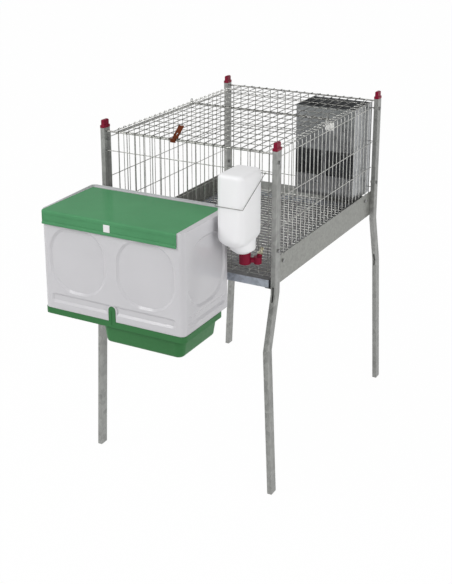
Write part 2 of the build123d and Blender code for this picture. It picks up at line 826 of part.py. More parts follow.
# Nest body: box with a rear sill, rim round the lid, pressed panels, clip notch and entrance collar
panel_width = (nest_width - 2 * panel_margin - panel_between) / 2
panel_z = nest_bottom + panel_low + panel_height / 2
strip_z = nest_bottom + strip_low + strip_height / 2
side_panel_width = nest_depth - 2 * panel_margin
pressed_sides = (
    (Plane((nest_x, nest_front, 0), x_dir=(1, 0, 0), z_dir=(0, 1, 0)), panel_width, 2),
    (Plane((nest_left, nest_y, 0), x_dir=(0, 1, 0), z_dir=(1, 0, 0)), side_panel_width, 1),
    (Plane((nest_right, nest_y, 0), x_dir=(0, 1, 0), z_dir=(-1, 0, 0)), side_panel_width, 1),
)
pressed_wall = nest_wall + boss_depth
collar_reach = nest_gap + bar_inset - layer - wire_r - collar_gap
with BuildPart() as nest_body:
    with BuildSketch(Plane((nest_x, nest_y, nest_bottom))):
        RectangleRounded(nest_width, nest_depth, nest_corner)
    extrude(amount=nest_height)
    with BuildSketch(Plane((nest_x, nest_y, nest_bottom))):
        RectangleRounded(nest_width - 2 * nest_wall, nest_depth - 2 * nest_wall, nest_corner - nest_wall)
    extrude(amount=nest_height - nest_wall, mode=Mode.SUBTRACT)
    block(
        nest_left + rim_left,
        nest_right - rim_right,
        nest_front - nest_wall,
        nest_rear - rim_rear,
        nest_top - nest_wall,
        nest_top + nest_wall,
        Mode.SUBTRACT,
    )
    with BuildSketch(Plane((nest_x, nest_y, nest_bottom))):
        RectangleRounded(nest_width, nest_depth, nest_corner)
        with Locations((0, -nest_sill)):
            Rectangle(nest_width, nest_depth, mode=Mode.SUBTRACT)
    extrude(amount=nest_wall)
    for plane, width, count in pressed_sides:
        up = plane.y_dir.Z
        for depth, mode in ((nest_wall, Mode.ADD), (0, Mode.SUBTRACT)):
            with BuildSketch(plane.offset(depth)):
                with Locations((0, up * panel_z)):
                    with GridLocations(width + panel_between, panel_height, count, 1):
                        RectangleRounded(width, panel_height, panel_round)
                with Locations((0, up * strip_z)):
                    RectangleRounded(count * (width + panel_between) - panel_between, strip_height, strip_round)
            extrude(amount=boss_depth, taper=boss_draft, mode=mode)
    with BuildSketch(Plane.XZ.offset(-(nest_front + pressed_wall))):
        with Locations((nest_x, nest_bottom + notch_height / 2)):
            RectangleRounded(
                notch_width + 2 * notch_collar,
                notch_height + 2 * notch_collar,
                notch_width / 2 + notch_collar - play,
            )
            Rectangle(notch_width + 2 * notch_collar, notch_height, align=(Align.CENTER, Align.MAX))
    extrude(amount=pressed_wall)
    with BuildSketch(Plane.XZ.offset(-nest_front)):
        with Locations((nest_x, nest_bottom)):
            SlotOverall(2 * notch_height, notch_width, rotation=90)
    extrude(amount=2 * pressed_wall, both=True, mode=Mode.SUBTRACT)
    block(
        nest_left,
        nest_right,
        nest_front - nest_wall,
        nest_front + 2 * pressed_wall,
        nest_bottom - nest_height,
        nest_bottom,
        Mode.SUBTRACT,
    )
    with BuildSketch(Plane.XZ.offset(-(nest_rear - nest_wall))):
        with Locations((nest_x, entrance_z)):
            RectangleRounded(
                entrance_width + 2 * collar_wall,
                entrance_height + 2 * collar_wall,
                entrance_round + collar_wall,
            )
    extrude(amount=-(nest_wall + collar_reach))
    with BuildSketch(Plane.XZ.offset(-nest_rear)):
        with Locations((nest_x, entrance_z)):
            RectangleRounded(entrance_width, entrance_height, entrance_round)
    extrude(amount=2 * collar_reach, both=True, mode=Mode.SUBTRACT)
    rod(nest_x, hinge_y, hinge_z, lid_pin_r + weld, 2 * nest_width, Mode.SUBTRACT)
write(nest_body, "nest_body")

# Nest lid: plate, rolled hinge knuckle and a front lip with a sunk band, a bead and a catch window
with BuildPart() as nest_lid:
    with BuildSketch(Plane.YZ.offset(lid_x)) as lid_profile:
        with BuildLine():
            Polyline(
                (hinge_y, nest_top),
                (lip_front, nest_top),
                (lip_front, lip_bottom + lid_bead_height),
                (lip_front - lid_bead, lip_bottom + lid_bead_height - lid_bead),
                (lip_front - lid_bead, lip_bottom + lid_bead),
                (lip_front, lip_bottom),
                (lip_back, lip_bottom),
                (lip_back, lid_under),
                (hinge_y, lid_under),
                close=True,
            )
        make_face()
        fillet(lid_profile.vertices().group_by(Axis.Y)[-1].sort_by(Axis.X)[0], lid_round)
        with Locations((hinge_y, hinge_z)):
            Circle(knuckle_r)
            Circle(lid_pin_r + run, mode=Mode.SUBTRACT)
    extrude(amount=(lid_right - lid_left) / 2, both=True)
    band_top = nest_top - lid_band_drop
    block(
        lid_left + lid_lip,
        lid_right - lid_lip,
        lip_front - lid_bead,
        lip_front + lid_band_depth,
        band_top - lid_band_height,
        band_top,
        Mode.SUBTRACT,
    )
    catch_z = band_top - lid_band_height / 2
    block(
        lid_x - catch_width / 2,
        lid_x + catch_width / 2,
        lip_front - lid_lip,
        lip_back + lid_lip_gap / 2,
        catch_z - catch_height / 2,
        catch_z + catch_height / 2,
        Mode.SUBTRACT,
    )
write(nest_lid, "nest_lid")

# White catch in the lid's window
with BuildPart() as nest_lid_catch:
    block(
        lid_x - catch_width / 2 + weld,
        lid_x + catch_width / 2 - weld,
        lip_front - catch_proud,
        lip_back,
        catch_z - catch_height / 2 + weld,
        catch_z + catch_height / 2 - weld,
    )
    chamfer(nest_lid_catch.faces().sort_by(Axis.Y)[0].edges(), catch_proud / 2)
write(nest_lid_catch, "nest_lid_catch")

# Hinge pin of the nest lid
with BuildPart() as nest_lid_pin:
    rod(nest_x, hinge_y, hinge_z, lid_pin_r, nest_width - 2 * play)
write(nest_lid_pin, "nest_lid_pin")

# Nest base: shallow rim tray, sunken pan and the tongue that clips into the notch
base_top = nest_bottom - play
base_floor = base_top - base_rim
pan_x = nest_right - pan_right_gap - pan_width / 2
pan_y = nest_front + pan_front_gap + pan_depth / 2
base_width = nest_width + 2 * base_out
base_depth = nest_depth + base_out - nest_sill
base_y = nest_front - base_out + base_depth / 2
with BuildPart() as nest_base:
    with BuildSketch(Plane((nest_x, base_y, base_floor))):
        RectangleRounded(base_width, base_depth, nest_corner + base_out)
    extrude(amount=base_rim)
    with BuildSketch(Plane((pan_x, pan_y, base_floor), z_dir=(0, 0, -1))):
        RectangleRounded(pan_width, pan_depth, pan_round)
    extrude(amount=pan_drop, taper=pan_draft)
    fillet(nest_base.faces().sort_by(Axis.Z)[0].edges(), pan_fillet)
    with BuildSketch(Plane((nest_x, base_y, base_floor + base_wall))):
        RectangleRounded(
            base_width - 2 * base_wall,
            base_depth - 2 * base_wall,
            nest_corner + base_out - base_wall,
        )
    extrude(amount=base_rim, mode=Mode.SUBTRACT)
    with BuildSketch(Plane((pan_x, pan_y, base_floor + base_wall), z_dir=(0, 0, -1))):
        RectangleRounded(pan_width - 2 * base_wall, pan_depth - 2 * base_wall, pan_round - base_wall)
    extrude(amount=pan_drop, taper=pan_draft, mode=Mode.SUBTRACT)
    tongue_front = nest_front - base_out
    tongue_rise = notch_height - (notch_width - tongue_width) / 2
    tongue_mid = nest_bottom + tongue_rise - tongue_width / 2
    with BuildSketch(Plane.XZ.offset(-tongue_front)):
        with Locations((nest_x, tongue_mid)):
            Circle(tongue_width / 2)
            Rectangle(tongue_width, tongue_mid - base_floor, align=(Align.CENTER, Align.MAX))
    extrude(amount=-base_wall)
    with BuildSketch(Plane.XZ.offset(-tongue_front)):
        with Locations((nest_x, tongue_mid - tongue_rise / 2)):
            SlotOverall(tongue_rise, tongue_groove, rotation=90)
    extrude(amount=-tongue_groove_depth, mode=Mode.SUBTRACT)
write(nest_base, "nest_base")

# Strip hooks that carry the nest box on the front wall
nest_hook_out = min(inner_x, -nest_left - nest_corner) - nest_hook_width
nest_hook_xs = (-cell_below(nest_hook_out), cell_below(nest_right - nest_corner - nest_hook_width))
with BuildPart() as nest_hooks:
    for x in nest_hook_xs:
        x0 = x - nest_hook_width / 2
        x1 = x + nest_hook_width / 2
        arm_z = hook_wire_z + hex_r + weld
        arm_top = arm_z + nest_hook_strip
        nose_y = front_wire_y + wire_r + play
        back_y = nest_rear + weld
        block(x0, x1, back_y, back_y + nest_hook_strip, arm_z - nest_hook_tail, arm_top)
        block(x0, x1, back_y, nose_y + nest_hook_strip, arm_z, arm_top)
        block(x0, x1, nose_y, nose_y + nest_hook_strip, arm_z - nest_hook_nose, arm_top)
write(nest_hooks, "nest_hooks")

# Water bottle as a rounded block, once for its outside and once for the space inside
bottle_views = (
    (Plane.XZ.offset(-bottle_y), bottle_x, bottle_width),
    (Plane.YZ.offset(bottle_x), bottle_y, bottle_depth),
)
bottle_blocks = []
for inset in (0, bottle_wall):
    with BuildPart() as bottle_block:
        with BuildSketch(Plane((bottle_x, bottle_y, bottle_bottom + inset))):
            RectangleRounded(bottle_width - 2 * inset, bottle_depth - 2 * inset, bottle_corner - inset)
        extrude(amount=bottle_height - 2 * inset)
        fillet(bottle_block.faces().sort_by(Axis.Z)[-1].edges(), bottle_top_round - inset)
        for plane, middle, width in bottle_views:
            with BuildSketch(plane) as bottle_view:
                with Locations((middle, bottle_bottom + bottle_height / 2)):
                    Rectangle(width - 2 * inset, bottle_height - 2 * inset)
                fillet(bottle_view.vertices().group_by(Axis.Y)[0], bottle_low_round - inset)
            extrude(amount=bottle_depth, both=True, mode=Mode.INTERSECT)
    bottle_blocks.append(bottle_block.part)

# Water bottle on its round shoulder, with the neck set back
with BuildPart() as bottle_body:
    add(bottle_blocks[0])
    with BuildSketch(Plane((bottle_x, collar_y, 0), x_dir=(1, 0, 0), z_dir=(0, -1, 0))):
        with BuildLine():
            Polyline(
                (0, neck_top),
                (collar_cone_r, neck_top),
                (collar_r, neck_top + collar_cone),
                (collar_r, bottle_bottom + bottle_low_round),
                (0, bottle_bottom + bottle_low_round),
                close=True,
            )
        make_face()
    revolve(axis=Axis((bottle_x, collar_y, 0), (0, 0, 1)))
    with Locations((bottle_x, neck_y, neck_end)):
        Cylinder(neck_r, bottle_bottom - neck_end, align=(Align.CENTER, Align.CENTER, Align.MIN))
    add(bottle_blocks[1], mode=Mode.SUBTRACT)
    with Locations((bottle_x, neck_y, neck_end)):
        bore_length = bottle_bottom - neck_end + bottle_corner
        Cylinder(neck_bore, bore_length, align=(Align.CENTER, Align.CENTER, Align.MIN), mode=Mode.SUBTRACT)
write(bottle_body, "bottle_body")

# Seal washer between the neck and the cap
with BuildPart() as bottle_seal:
    with BuildSketch(Plane((bottle_x, neck_y, cap_floor + weld))):
        Circle(neck_r)
        Circle(seal_bore, mode=Mode.SUBTRACT)
    extrude(amount=seal_height)
write(bottle_seal, "bottle_seal")

# Screw cap, bored through to the elbow
with BuildPart() as bottle_cap:
    with BuildSketch(Plane((bottle_x, neck_y, cap_low))):
        Circle(cap_r)
    extrude(amount=neck_top - weld - cap_low)
    with BuildSketch(Plane((bottle_x, neck_y, cap_floor))):
        Circle(neck_r + weld)
    extrude(amount=neck_top - cap_floor, mode=Mode.SUBTRACT)
    with BuildSketch(Plane((bottle_x, neck_y, cap_low + elbow_bore))):
        Circle(cap_bore)
    extrude(amount=cap_bottom, mode=Mode.SUBTRACT)
write(bottle_cap, "bottle_cap")

# Elbow that leads the water from the cap to the nipple
elbow_way = Vector(elbow_x - bottle_x, elbow_y - neck_y, 0).normalized()
nipple_way = Vector(0, math.cos(math.radians(nipple_tilt)), math.sin(math.radians(nipple_tilt)))
elbow_mid = Vector(elbow_x, elbow_y, elbow_z)
elbow_root = Vector(bottle_x, neck_y, elbow_z) + elbow_way * (cap_r + weld)
with BuildPart() as bottle_elbow:
    with Locations((elbow_x, elbow_y, elbow_z)):
        Cylinder(elbow_cup_r, elbow_cup_height)
    fillet(bottle_elbow.faces().sort_by(Axis.Z)[0].edges(), elbow_cup_round)
    with BuildSketch(Plane(elbow_root, z_dir=elbow_way)):
        Circle(elbow_r)
    extrude(amount=elbow_length - cap_r)
    with BuildSketch(Plane(elbow_mid, z_dir=nipple_way)):
        Circle(elbow_r)
    extrude(amount=elbow_boss)
    with BuildSketch(Plane(elbow_root, z_dir=elbow_way)):
        Circle(elbow_bore)
    extrude(amount=elbow_length - cap_r, mode=Mode.SUBTRACT)
    with BuildSketch(Plane(elbow_mid + nipple_way * (elbow_boss - nipple_stub - weld), z_dir=nipple_way)):
        Circle(nipple_stub_r + weld)
    extrude(amount=elbow_boss, mode=Mode.SUBTRACT)
    with BuildSketch(Plane(elbow_mid, z_dir=nipple_way)):
        Circle(elbow_bore)
    extrude(amount=elbow_boss, mode=Mode.SUBTRACT)
    with Locations((elbow_x, elbow_y, elbow_z)):
        Sphere(elbow_cup_r / 2, mode=Mode.SUBTRACT)
write(bottle_elbow, "bottle_elbow")

# Drinking nipple: threaded stub, hexagon and tube, bored for its pin
nut_foot = elbow_mid + nipple_way * (elbow_boss + weld)
tube_foot = nut_foot + nipple_way * nipple_nut
tube_tip = tube_foot + nipple_way * nipple_length
pin_tip = tube_tip + nipple_way * nipple_pin_out
pin_foot = pin_tip - nipple_way * nipple_pin_length
with BuildPart() as nipple_body:
    with BuildSketch(Plane(nut_foot - nipple_way * nipple_stub, z_dir=nipple_way)):
        Circle(nipple_stub_r)
    extrude(amount=nipple_stub + nipple_nut)
    with BuildSketch(Plane(nut_foot, z_dir=nipple_way)):
        RegularPolygon(nipple_nut_flats / 2, 6, major_radius=False)
    extrude(amount=nipple_nut)
    with BuildSketch(Plane(tube_foot, z_dir=nipple_way)):
        Circle(nipple_r)
    extrude(amount=nipple_length)
    with BuildSketch(Plane(pin_foot - nipple_way * nipple_seat, z_dir=nipple_way)):
        Circle(nipple_pin_r + run)
    extrude(amount=nipple_pin_length + nipple_seat, mode=Mode.SUBTRACT)
write(nipple_body, "nipple_body")

# Pin that the animal pushes in to drink
with BuildPart() as nipple_pin:
    with BuildSketch(Plane(pin_foot, z_dir=nipple_way)):
        Circle(nipple_pin_r)
    extrude(amount=nipple_pin_length)
write(nipple_pin, "nipple_pin")

# Wire bail round the bottle, hung by two eyes on the upper front wire
bail_x0 = bottle_x - bottle_width / 2 - bail_gap - bail_r
bail_x1 = bottle_x + bottle_width / 2 + bail_gap + bail_r
bail_way = Vector(0, bail_y - front_wire_y, bail_z - hang_wire_z).normalized()
eye_r = wire_r + run + bail_eye
with BuildPart() as bottle_bail:
    arm_start = Vector(bail_x0, front_wire_y, hang_wire_z) + bail_way * (wire_r + run + bail_eye / 2)
    arm_end = Vector(bail_x1, front_wire_y, hang_wire_z) + bail_way * (wire_r + run + bail_eye / 2)
    with BuildLine() as bail_path:
        Polyline(arm_start, (bail_x0, bail_y, bail_z), (bail_x1, bail_y, bail_z), arm_end)
    with BuildSketch(Plane(arm_start, x_dir=(1, 0, 0), z_dir=bail_way)):
        RegularPolygon(bail_r, 6, major_radius=False)
    sweep(path=bail_path.wires()[0], transition=Transition.RIGHT)
    for x in (bail_x0, bail_x1):
        rod(x, front_wire_y, hang_wire_z, eye_r, bail_eye_width)
    rod(bottle_x, front_wire_y, hang_wire_z, wire_r + run, 2 * bottle_width, Mode.SUBTRACT)
write(bottle_bail, "bottle_bail")
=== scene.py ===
import json
import math

import bmesh
import bpy
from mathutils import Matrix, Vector


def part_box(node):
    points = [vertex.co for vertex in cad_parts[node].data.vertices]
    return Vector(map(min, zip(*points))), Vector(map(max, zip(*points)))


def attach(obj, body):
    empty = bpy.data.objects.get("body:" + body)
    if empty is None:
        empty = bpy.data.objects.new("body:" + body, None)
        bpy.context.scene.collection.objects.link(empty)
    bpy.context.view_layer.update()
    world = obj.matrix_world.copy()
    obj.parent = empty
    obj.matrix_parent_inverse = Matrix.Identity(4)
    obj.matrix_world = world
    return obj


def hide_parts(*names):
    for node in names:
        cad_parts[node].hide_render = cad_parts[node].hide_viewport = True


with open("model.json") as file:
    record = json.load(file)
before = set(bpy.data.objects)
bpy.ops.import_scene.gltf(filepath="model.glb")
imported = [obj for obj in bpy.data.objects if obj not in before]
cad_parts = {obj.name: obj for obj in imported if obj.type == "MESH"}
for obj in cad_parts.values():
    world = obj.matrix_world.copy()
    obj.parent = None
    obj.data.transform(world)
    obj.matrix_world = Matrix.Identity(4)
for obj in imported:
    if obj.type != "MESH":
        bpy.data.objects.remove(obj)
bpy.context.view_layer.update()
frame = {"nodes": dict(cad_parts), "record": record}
nodes = frame["nodes"]
scene = bpy.context.scene

# Radii of the solids' wires and roof bars, in metres like all lengths here
WIRE_R = 0.0012
BAR_R = 0.0025

# Round wires drawn in place of the solids' plain ones
ROUND_R = 0.00135
ROUND_STEPS = 2
BEND_R = 0.007
BEND_STEPS = 5
BEND_LIMIT = 2.05
HOOK_R = 0.0015
HOOK_DROP = 0.006

# A side wall's solid longer than the first in x and shorter than the second in y is a flange wire
FLANGE_MIN = 10 * WIRE_R
ACROSS_MAX = 4 * WIRE_R

# Decimal places at which two corners, or the places of two wires, count as one
CORNER_DIGITS = 6
PLACE_DIGITS = 4

# Soft edges of the legs and caps
SAME_CORNER = 1e-5
SOFT_ANGLE = math.radians(50)
SOFT_STEPS = 3
LEG_ROUND = 0.002
CAP_ROUND = 0.0012

# Textures: the span that a noise fills, shares and tones of the patterns, grain
NOISE_LOW, NOISE_HIGH = 0.3, 0.7
FIRST_SHARE = 0.6
ZINC_TONES = (0.3, 0.5, 0.72)
ZINC_GRAIN, ZINC_GRAIN_STRENGTH, ZINC_GRAIN_DEPTH = 420.0, 0.12, 0.0006
PLASTIC_TONES = (0.32, 0.5, 0.7)
PLASTIC_CLOUD, PLASTIC_POLISH = 7.0, 24.0
PLASTIC_GRAIN, PLASTIC_GRAIN_DEPTH = 900.0, 0.0004
# Painted shade for what faces up: where it starts and is full along the normal's height, and the tray's
# shade tint
PAINTED_SHADE_FROM, PAINTED_SHADE_FULL = 0.5, 0.9
TRAY_PAINTED_SHADE = (0.72, 0.66, 0.6)

# Colour sockets of a Mix node, by number because other types share their names
MIX_A, MIX_B, MIX_RESULT = 6, 7, 2


def linear(red, green, blue):
    """Screen (sRGB) colour from 0 to 255 as a linear colour."""
    out = []
    for value in (red, green, blue):
        c = value / 255
        out.append(c / 12.92 if c <= 0.04045 else ((c + 0.055) / 1.055) ** 2.4)
    return (*out, 1.0)


def shade(colour, factor):
    """A colour made lighter or darker."""
    return (*[min(1.0, c * factor) for c in colour[:3]], 1.0)


class Surface:
    """A node material with a Principled shader and short ways to add textures."""

    def __init__(self, name):
        self.material = bpy.data.materials.new(name)
        self.material.use_nodes = True
        self.tree = self.material.node_tree
        self.shader = self.tree.nodes["Principled BSDF"]
        self.coords = self.tree.nodes.new("ShaderNodeTexCoord").outputs["Object"]

    def link(self, a, b):
        self.tree.links.new(a, b)

    def stretched(self, scale):
        node = self.tree.nodes.new("ShaderNodeMapping")
        node.inputs["Scale"].default_value = scale
        self.link(self.coords, node.inputs["Vector"])
        return node.outputs["Vector"]

    def noise(self, scale, detail, rough=0.55, vector=None):
        node = self.tree.nodes.new("ShaderNodeTexNoise")
        node.inputs["Scale"].default_value = scale
        node.inputs["Detail"].default_value = detail
        node.inputs["Roughness"].default_value = rough
        self.link(vector or self.coords, node.inputs["Vector"])
        return node.outputs["Fac"]

    def cells(self, scale):
        node = self.tree.nodes.new("ShaderNodeTexVoronoi")
        node.inputs["Scale"].default_value = scale
        self.link(self.coords, node.inputs["Vector"])
        grey = self.tree.nodes.new("ShaderNodeRGBToBW")
        self.link(node.outputs["Color"], grey.inputs["Color"])
        return grey.outputs["Val"]

    def calc(self, how, a, b):
        node = self.tree.nodes.new("ShaderNodeMath")
        node.operation = how
        for socket, value in zip(node.inputs, (a, b)):
            if isinstance(value, float):
                socket.default_value = value
            else:
                self.link(value, socket)
        return node.outputs["Value"]

    def blend(self, a, b):
        """Two patterns in one, the first with the larger share."""
        first = self.calc("MULTIPLY", a, FIRST_SHARE)
        second = self.calc("MULTIPLY", b, 1 - FIRST_SHARE)
        return self.calc("ADD", first, second)

    def ramp(self, factor, stops):
        node = self.tree.nodes.new("ShaderNodeValToRGB")
        band = node.color_ramp
        band.elements[0].position, band.elements[0].color = stops[0]
        band.elements[1].position, band.elements[1].color = stops[-1]
        for place, colour in stops[1:-1]:
            band.elements.new(place).color = colour
        self.link(factor, node.inputs["Fac"])
        return node.outputs["Color"]

    def tones(self, factor, places, colour, change):
        """Base colour that runs from darker to lighter along a pattern."""
        steps = (shade(colour, 1 - change), colour, shade(colour, 1 + change))
        self.link(self.ramp(factor, list(zip(places, steps))), self.shader.inputs["Base Color"])

    def polish(self, factor, low, high):
        """Roughness between two values along a pattern."""
        node = self.tree.nodes.new("ShaderNodeMapRange")
        node.inputs["From Min"].default_value = NOISE_LOW
        node.inputs["From Max"].default_value = NOISE_HIGH
        node.inputs["To Min"].default_value = low
        node.inputs["To Max"].default_value = high
        self.link(factor, node.inputs["Value"])
        self.link(node.outputs["Result"], self.shader.inputs["Roughness"])

    def bump(self, height, strength, distance):
        node = self.tree.nodes.new("ShaderNodeBump")
        node.inputs["Strength"].default_value = strength
        node.inputs["Distance"].default_value = distance
        self.link(height, node.inputs["Height"])
        self.link(node.outputs["Normal"], self.shader.inputs["Normal"])

    def painted_shade(self, shade_tint):
        """Painted shade: darken what faces up, as the tray floor lies in shade under the floor mesh."""
        normal = self.tree.nodes.new("ShaderNodeNewGeometry").outputs["Normal"]
        split = self.tree.nodes.new("ShaderNodeSeparateXYZ")
        self.link(normal, split.inputs[0])
        # Painted shade: the higher the normal points, the darker the colour
        painted_shade_veil = self.ramp(split.outputs["Z"], [(PAINTED_SHADE_FROM, (1, 1, 1, 1)), (PAINTED_SHADE_FULL, (*shade_tint, 1))])
        mix = self.tree.nodes.new("ShaderNodeMix")
        mix.data_type = "RGBA"
        mix.blend_type = "MULTIPLY"
        mix.inputs["Factor"].default_value = 1.0
        base = self.shader.inputs["Base Color"]
        self.link(base.links[0].from_socket, mix.inputs[MIX_A])
        self.link(painted_shade_veil, mix.inputs[MIX_B])
        self.link(mix.outputs[MIX_RESULT], base)


def galvanised(name, colour, metal, rough=(0.34, 0.5), spangle=70.0, contrast=0.16, streak=None, patch=18.0):
    """Zinc coated steel: spangle cells, cloudy patches, optional drawn streaks."""
    s = Surface(name)
    cloud = s.noise(patch, detail=6.0)
    pattern = s.blend(cloud, s.cells(spangle))
    if streak:
        pattern = s.blend(pattern, s.noise(1.0, detail=3.0, rough=0.6, vector=s.stretched(streak)))
    s.tones(pattern, ZINC_TONES, colour, 2 * contrast)
    s.polish(cloud, *rough)
    s.bump(s.noise(ZINC_GRAIN, detail=3.0), ZINC_GRAIN_STRENGTH, ZINC_GRAIN_DEPTH)
    s.shader.inputs["Metallic"].default_value = metal
    return s


def plastic(name, colour, rough=(0.34, 0.46), mottle=0.05, depth=0.1, gloss=0.5):
    """Moulded plastic: faint clouding, fine grain and uneven polish."""
    s = Surface(name)
    s.tones(s.noise(PLASTIC_CLOUD, detail=5.0), PLASTIC_TONES, colour, mottle)
    s.polish(s.noise(PLASTIC_POLISH, detail=5.0), *rough)
    s.bump(s.noise(PLASTIC_GRAIN, detail=2.0), depth, PLASTIC_GRAIN_DEPTH)
    s.shader.inputs["Specular IOR Level"].default_value = gloss
    return s


# Screen colour and finish of each surface
ZINC = {
    "galvanised_tube": ((150, 151, 148), {"metal": 0.5, "streak": (60, 60, 3)}),
    "rail_sheet": ((145, 146, 141), {"metal": 0.6, "spangle": 150.0, "contrast": 0.08, "patch": 60.0}),
    "tray_sheet": ((173, 179, 189), {"metal": 0.6, "spangle": 120.0, "contrast": 0.1, "patch": 50.0}),
    # Rear ledge: paler sheet, painted light on its shaded inner face
    "ledge_sheet": ((186, 187, 184), {"metal": 0.3, "spangle": 150.0, "contrast": 0.08}),
    "galvanised_wire": (
        (152, 152, 148),
        {"metal": 0.95, "rough": (0.24, 0.36), "spangle": 160.0, "contrast": 0.2},
    ),
    # Paler zinc; on the floor grid and side wall wires it is painted light, a lit copy of the wire zinc
    "bright_bar": (
        (206, 206, 202),
        {"metal": 0.95, "rough": (0.24, 0.36), "spangle": 160.0, "contrast": 0.12},
    ),
    "feeder_sheet": (
        (174, 176, 178),
        {"metal": 0.9, "rough": (0.26, 0.38), "spangle": 110.0, "contrast": 0.06, "patch": 40.0},
    ),
    "bolt_steel": ((150, 150, 150), {"metal": 0.7, "rough": (0.28, 0.42), "spangle": 300.0}),
    "nipple_brass": ((238, 230, 200), {"metal": 0.95, "rough": (0.12, 0.2), "spangle": 400.0}),
}
PLASTIC = {
    "crimson_plastic": ((128, 24, 50), {"rough": (0.28, 0.4), "mottle": 0.12, "gloss": 0.12}),
    "black_plastic": ((28, 28, 28), {"mottle": 0.2}),
    "latch_brown": ((96, 46, 24), {"mottle": 0.3, "gloss": 0.1}),
    "tag_white": ((240, 240, 237), {"mottle": 0.02}),
    "nest_grey": ((203, 202, 205), {"rough": (0.16, 0.2), "mottle": 0.02, "depth": 0.02, "gloss": 0.55}),
    "lid_green": ((85, 147, 103), {"rough": (0.14, 0.24), "gloss": 0.02}),
    "base_green": ((57, 115, 67), {"rough": (0.3, 0.42), "gloss": 0.15}),
    "catch_white": ((232, 232, 232), {"mottle": 0.02}),
    "bottle_white": ((245, 245, 246), {"rough": (0.36, 0.5), "mottle": 0.01, "gloss": 0.3}),
    "seal_rubber": ((30, 30, 30), {"rough": (0.6, 0.8)}),
}
surfaces = {}
for make, table in ((galvanised, ZINC), (plastic, PLASTIC)):
    for name, (colour, look) in table.items():
        surfaces[name] = make(name, linear(*colour), **look)
# Painted shade on the tray's floor, for the shadow under the floor mesh
surfaces["tray_sheet"].painted_shade(TRAY_PAINTED_SHADE)

# Every solid takes the surface of its slot, apart from the rear ledge, which takes a paler sheet as painted
# light on its shaded inner face
slot_of = {row["node"]: row["material_slot"] for row in frame["record"]["subparts"]}
for name, node in nodes.items():
    node.data.materials.clear()
    finish = "ledge_sheet" if name == "rear_ledge" else slot_of[name]
    node.data.materials.append(surfaces[finish].material)


def soften(kind, width):
    """Round the sharp edges of the solid of one kind at each corner of the cage, for the picture."""
    for corner in ("front_left", "front_right", "rear_left", "rear_right"):
        node = nodes[f"{kind}_{corner}"]
        join = node.modifiers.new("join", "WELD")
        join.merge_threshold = SAME_CORNER
        bevel = node.modifiers.new("bevel", "BEVEL")
        bevel.width = width
        bevel.segments = SOFT_STEPS
        bevel.limit_method = "ANGLE"
        bevel.angle_limit = SOFT_ANGLE
        bevel.harden_normals = True


soften("leg", LEG_ROUND)
soften("cap", CAP_ROUND)


def loose_boxes(name):
    """Lowest and highest corner of each separate solid of a CAD node."""
    mesh = nodes[name].data
    place = {}
    group = []
    index = []
    for v in mesh.vertices:
        key = tuple(round(c, CORNER_DIGITS) for c in v.co)
        if key not in place:
            place[key] = len(group)
            group.append(len(group))
        index.append(place[key])

    def root(i):
        while group[i] != i:
            group[i] = group[group[i]]
            i = group[i]
        return i

    for face in mesh.polygons:
        first = root(index[face.vertices[0]])
        for v in face.vertices[1:]:
            group[root(index[v])] = first
    found = {}
    for key, i in place.items():
        low, high = found.setdefault(root(i), (list(key), list(key)))
        for axis in range(3):
            low[axis] = min(low[axis], key[axis])
            high[axis] = max(high[axis], key[axis])
    return [(Vector(low), Vector(high)) for low, high in found.values()]


def straight(low, high):
    """Middle line of a straight wire from its box."""
    middle = (low + high) / 2
    size = high - low
    axis = max(range(3), key=lambda i: size[i])
    a, b = middle.copy(), middle.copy()
    a[axis], b[axis] = low[axis], high[axis]
    return [a, b]


def rounded(points, radius):
    """A run of points with its corners turned into curves that take less than half of each side."""
    out = [points[0]]
    for before, corner, after in zip(points, points[1:], points[2:]):
        into = (before - corner).normalized()
        away = (after - corner).normalized()
        reach = min(
            radius / math.tan(into.angle(away) / 2),
            (before - corner).length / BEND_LIMIT,
            (after - corner).length / BEND_LIMIT,
        )
        start, end = corner + into * reach, corner + away * reach
        for i in range(BEND_STEPS + 1):
            t = i / BEND_STEPS
            out.append(start * (1 - t) ** 2 + corner * 2 * t * (1 - t) + end * t**2)
    out.append(points[-1])
    return out


def wires(node, runs, body, finish="galvanised_wire"):
    """Round wires along runs of points, in place of a node's plain solids."""
    name = f"wires_{node}"
    data = bpy.data.curves.new(name, "CURVE")
    data.dimensions = "3D"
    data.bevel_depth = ROUND_R
    data.bevel_resolution = ROUND_STEPS
    data.use_fill_caps = True
    for run in runs:
        spline = data.splines.new("POLY")
        spline.points.add(len(run) - 1)
        for point, place in zip(spline.points, run):
            point.co = (*place, 1.0)
        spline.use_smooth = True
    piece = bpy.data.objects.new(name, data)
    scene.collection.objects.link(piece)
    data.materials.append(surfaces[finish].material)
    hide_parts(node)
    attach(piece, body)


# Floor, front wall and rear wall, of straight wires only
# The floor grid takes bright_bar: painted light, so that its wires read lit over the tray
for node, finish in (
    ("floor_grid", "bright_bar"),
    ("front_wall", "galvanised_wire"),
    ("rear_wall", "galvanised_wire"),
):
    wires(node, [straight(*box) for box in loose_boxes(node)], "frame", finish)


def hooked(line, front_reach, rear_reach):
    """A roof wire whose rear end, and front end if it reaches out, bends down round the bar below it."""
    front, rear = sorted(line, key=lambda point: point.y)
    drop = Vector((0, 0, HOOK_DROP))
    rear_tip = rear + Vector((0, rear_reach, 0))
    points = [front, rear_tip, rear_tip - drop]
    if front_reach:
        front_tip = front - Vector((0, front_reach, 0))
        points = [front_tip - drop, front_tip] + points[1:]
    return rounded(points, HOOK_R)


# Roof panels, whose long wires hook over the bars
for panel, body, front_reach in (
    ("roof_front_panel", "front_roof", WIRE_R),
    ("roof_rear_panel", "rear_roof", 0),
):
    runs = []
    for low, high in loose_boxes(panel):
        line = straight(low, high)
        if high.y - low.y > high.x - low.x:
            line = hooked(line, front_reach, 2 * (BAR_R + WIRE_R))
        runs.append(line)
    wires(panel, runs, body)

